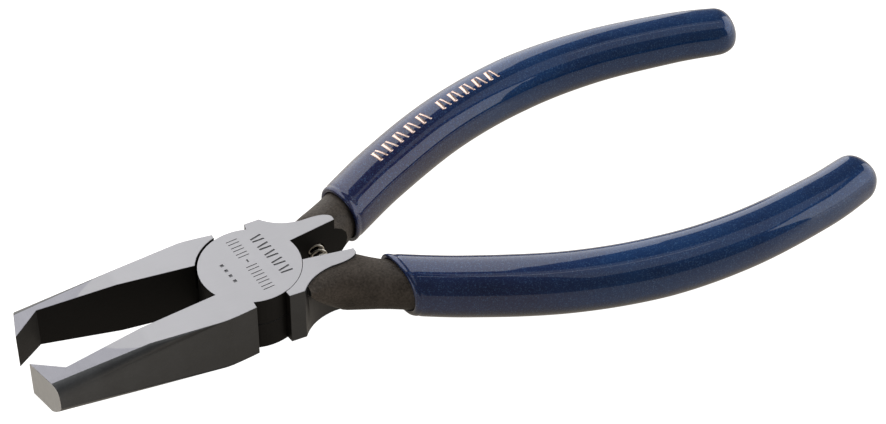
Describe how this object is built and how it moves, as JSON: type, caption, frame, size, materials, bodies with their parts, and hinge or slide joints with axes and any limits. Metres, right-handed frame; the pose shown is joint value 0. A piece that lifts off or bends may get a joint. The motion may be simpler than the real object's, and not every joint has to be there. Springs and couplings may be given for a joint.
{
  "type": "grozing pliers",
  "caption": "Spring-opened flat-headed pliers with bevelled lips across their open jaws, a round lap joint and bowed vinyl-dipped handles.",
  "frame": {"origin": "where the pivot axis meets the head's underside", "axes": "+X from the jaws to the handles, +Z along the pivot axis, out of the head's upper face; the far jaw and far handle are on +Y"},
  "size_m": [0.1396, 0.0602, 0.0101],
  "materials": {
    "forged_steel": "ground satin faces, dark oxide sides and arms",
    "rivet_steel": "ground flush with the head",
    "spring_wire": "drawn wire",
    "navy_vinyl": "glossy dipped vinyl with fine flake"
  },
  "bodies": {
    "upper_lever": {"near_half": "forged_steel", "pivot_rivet": "rivet_steel", "return_spring": "spring_wire", "far_grip": "navy_vinyl"},
    "lower_lever": {"far_half": "forged_steel", "near_grip": "navy_vinyl"}
  },
  "joints": [
    {"name": "jaw_pivot", "type": "hinge", "parent": "upper_lever", "child": "lower_lever", "pos_m": [0, 0, 0], "axis": [0, 0, 1], "range_deg": [-12, 9.2], "stiffness_Nm_per_rad": 0.73, "deforming": ["return_spring"]}
  ]
}
